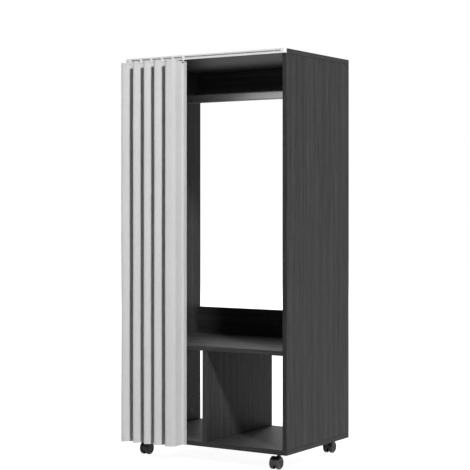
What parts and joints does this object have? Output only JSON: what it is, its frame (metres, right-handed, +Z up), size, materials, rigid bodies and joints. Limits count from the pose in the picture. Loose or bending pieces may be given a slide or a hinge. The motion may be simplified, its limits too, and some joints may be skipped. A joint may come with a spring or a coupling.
{
  "type": "open wardrobe",
  "caption": "Tall open wardrobe of dark boards on casters, with a hanging rail, a shelf over two cubbies, an open back and a pleated curtain on a front track.",
  "frame": {"origin": "on the floor, under the middle of the box that holds the boards and the gathered curtain", "axes": "+Z up, +X to the right of a person who faces the open front, and the front faces -Y"},
  "size_m": [0.6, 0.4641, 1.283],
  "materials": {
    "board": "printed dark wood grain, satin, grain upright",
    "rail": "satin steel",
    "zinc": "zinc plated",
    "track": "white, satin",
    "glider": "white moulded nylon",
    "curtain": "pale grey plain weave",
    "caster": "black moulded nylon",
    "stem": "black steel"
  },
  "bodies": {
    "carcass": {"left_side_panel": "board", "right_side_panel": "board", "top_panel": "board", "bottom_panel": "board", "middle_shelf": "board", "divider_panel": "board", "top_back_strip": "board", "lower_back_strip": "board", "hanging_rail": "rail", "rail_support_left": "zinc", "rail_support_right": "zinc", "rail_screw_left_upper": "zinc", "rail_screw_left_lower": "zinc", "rail_screw_right_upper": "zinc", "rail_screw_right_lower": "zinc", "curtain_track": "track", "track_end_cap_left": "track", "track_end_cap_right": "track", "track_screw_left": "zinc", "track_screw_middle": "zinc", "track_screw_right": "zinc", "shelf_cam_lock_front_left": "zinc", "shelf_cam_lock_front_right": "zinc", "shelf_cam_lock_rear_left": "zinc", "shelf_cam_lock_rear_right": "zinc", "glider_1": "glider", "front_left_caster_insert": "zinc", "front_left_caster_stem": "stem", "front_right_caster_insert": "zinc", "front_right_caster_stem": "stem", "rear_left_caster_insert": "zinc", "rear_left_caster_stem": "stem", "rear_right_caster_insert": "zinc", "rear_right_caster_stem": "stem"},
    "curtain_fold_1": {"glider_2": "glider", "curtain_pleat_1": "curtain"},
    "curtain_fold_2": {"glider_3": "glider", "curtain_pleat_2": "curtain"},
    "curtain_fold_3": {"glider_4": "glider", "curtain_pleat_3": "curtain"},
    "curtain_fold_4": {"glider_5": "glider", "curtain_pleat_4": "curtain"},
    "curtain_fold_5": {"glider_6": "glider", "curtain_pleat_5": "curtain"},
    "front_left_caster_fork": {"front_left_caster_body": "caster", "front_left_caster_axle": "stem"},
    "front_left_caster_left_wheel": {"front_left_caster_left_wheel": "caster"},
    "front_left_caster_right_wheel": {"front_left_caster_right_wheel": "caster"},
    "front_right_caster_fork": {"front_right_caster_body": "caster", "front_right_caster_axle": "stem"},
    "front_right_caster_left_wheel": {"front_right_caster_left_wheel": "caster"},
    "front_right_caster_right_wheel": {"front_right_caster_right_wheel": "caster"},
    "rear_left_caster_fork": {"rear_left_caster_body": "caster", "rear_left_caster_axle": "stem"},
    "rear_left_caster_left_wheel": {"rear_left_caster_left_wheel": "caster"},
    "rear_left_caster_right_wheel": {"rear_left_caster_right_wheel": "caster"},
    "rear_right_caster_fork": {"rear_right_caster_body": "caster", "rear_right_caster_axle": "stem"},
    "rear_right_caster_left_wheel": {"rear_right_caster_left_wheel": "caster"},
    "rear_right_caster_right_wheel": {"rear_right_caster_right_wheel": "caster"}
  },
  "joints": [
    {"name": "curtain_slide_1", "type": "slide", "parent": "carcass", "child": "curtain_fold_1", "axis": [1, 0, 0], "range_m": [0, 0.0709]},
    {"name": "curtain_slide_2", "type": "slide", "parent": "curtain_fold_1", "child": "curtain_fold_2", "axis": [1, 0, 0], "range_m": [0, 0.0709]},
    {"name": "curtain_slide_3", "type": "slide", "parent": "curtain_fold_2", "child": "curtain_fold_3", "axis": [1, 0, 0], "range_m": [0, 0.0709]},
    {"name": "curtain_slide_4", "type": "slide", "parent": "curtain_fold_3", "child": "curtain_fold_4", "axis": [1, 0, 0], "range_m": [0, 0.0709]},
    {"name": "curtain_slide_5", "type": "slide", "parent": "curtain_fold_4", "child": "curtain_fold_5", "axis": [1, 0, 0], "range_m": [0, 0.0709]},
    {"name": "front_left_caster_swivel", "type": "hinge", "parent": "carcass", "child": "front_left_caster_fork", "pos_m": [-0.245, -0.1225, 0.04], "axis": [0, 0, 1], "continuous": true},
    {"name": "front_left_caster_left_wheel_roll", "type": "hinge", "parent": "front_left_caster_fork", "child": "front_left_caster_left_wheel", "pos_m": [-0.24472, -0.1385, 0.02], "axis": [0.9998, 0.0175, 0], "continuous": true},
    {"name": "front_left_caster_right_wheel_roll", "type": "hinge", "parent": "front_left_caster_fork", "child": "front_left_caster_right_wheel", "pos_m": [-0.24472, -0.1385, 0.02], "axis": [0.9998, 0.0175, 0], "continuous": true},
    {"name": "front_right_caster_swivel", "type": "hinge", "parent": "carcass", "child": "front_right_caster_fork", "pos_m": [0.245, -0.1225, 0.04], "axis": [0, 0, 1], "continuous": true},
    {"name": "front_right_caster_left_wheel_roll", "type": "hinge", "parent": "front_right_caster_fork", "child": "front_right_caster_left_wheel", "pos_m": [0.24584, -0.13848, 0.02], "axis": [0.9986, 0.0523, 0], "continuous": true},
    {"name": "front_right_caster_right_wheel_roll", "type": "hinge", "parent": "front_right_caster_fork", "child": "front_right_caster_right_wheel", "pos_m": [0.24584, -0.13848, 0.02], "axis": [0.9986, 0.0523, 0], "continuous": true},
    {"name": "rear_left_caster_swivel", "type": "hinge", "parent": "carcass", "child": "rear_left_caster_fork", "pos_m": [-0.245, 0.1867, 0.04], "axis": [0, 0, 1], "continuous": true},
    {"name": "rear_left_caster_left_wheel_roll", "type": "hinge", "parent": "rear_left_caster_fork", "child": "rear_left_caster_left_wheel", "pos_m": [-0.24444, 0.20269, 0.02], "axis": [-0.9994, 0.0349, 0], "continuous": true},
    {"name": "rear_left_caster_right_wheel_roll", "type": "hinge", "parent": "rear_left_caster_fork", "child": "rear_left_caster_right_wheel", "pos_m": [-0.24444, 0.20269, 0.02], "axis": [-0.9994, 0.0349, 0], "continuous": true},
    {"name": "rear_right_caster_swivel", "type": "hinge", "parent": "carcass", "child": "rear_right_caster_fork", "pos_m": [0.245, 0.1867, 0.04], "axis": [0, 0, 1], "continuous": true},
    {"name": "rear_right_caster_left_wheel_roll", "type": "hinge", "parent": "rear_right_caster_fork", "child": "rear_right_caster_left_wheel", "pos_m": [0.24444, 0.20269, 0.02], "axis": [-0.9994, -0.0349, 0], "continuous": true},
    {"name": "rear_right_caster_right_wheel_roll", "type": "hinge", "parent": "rear_right_caster_fork", "child": "rear_right_caster_right_wheel", "pos_m": [0.24444, 0.20269, 0.02], "axis": [-0.9994, -0.0349, 0], "continuous": true}
  ],
  "couplings": [
    {"joint": "curtain_slide_2", "follows": "curtain_slide_1", "ratio": 1},
    {"joint": "curtain_slide_3", "follows": "curtain_slide_1", "ratio": 1},
    {"joint": "curtain_slide_4", "follows": "curtain_slide_1", "ratio": 1},
    {"joint": "curtain_slide_5", "follows": "curtain_slide_1", "ratio": 1}
  ]
}
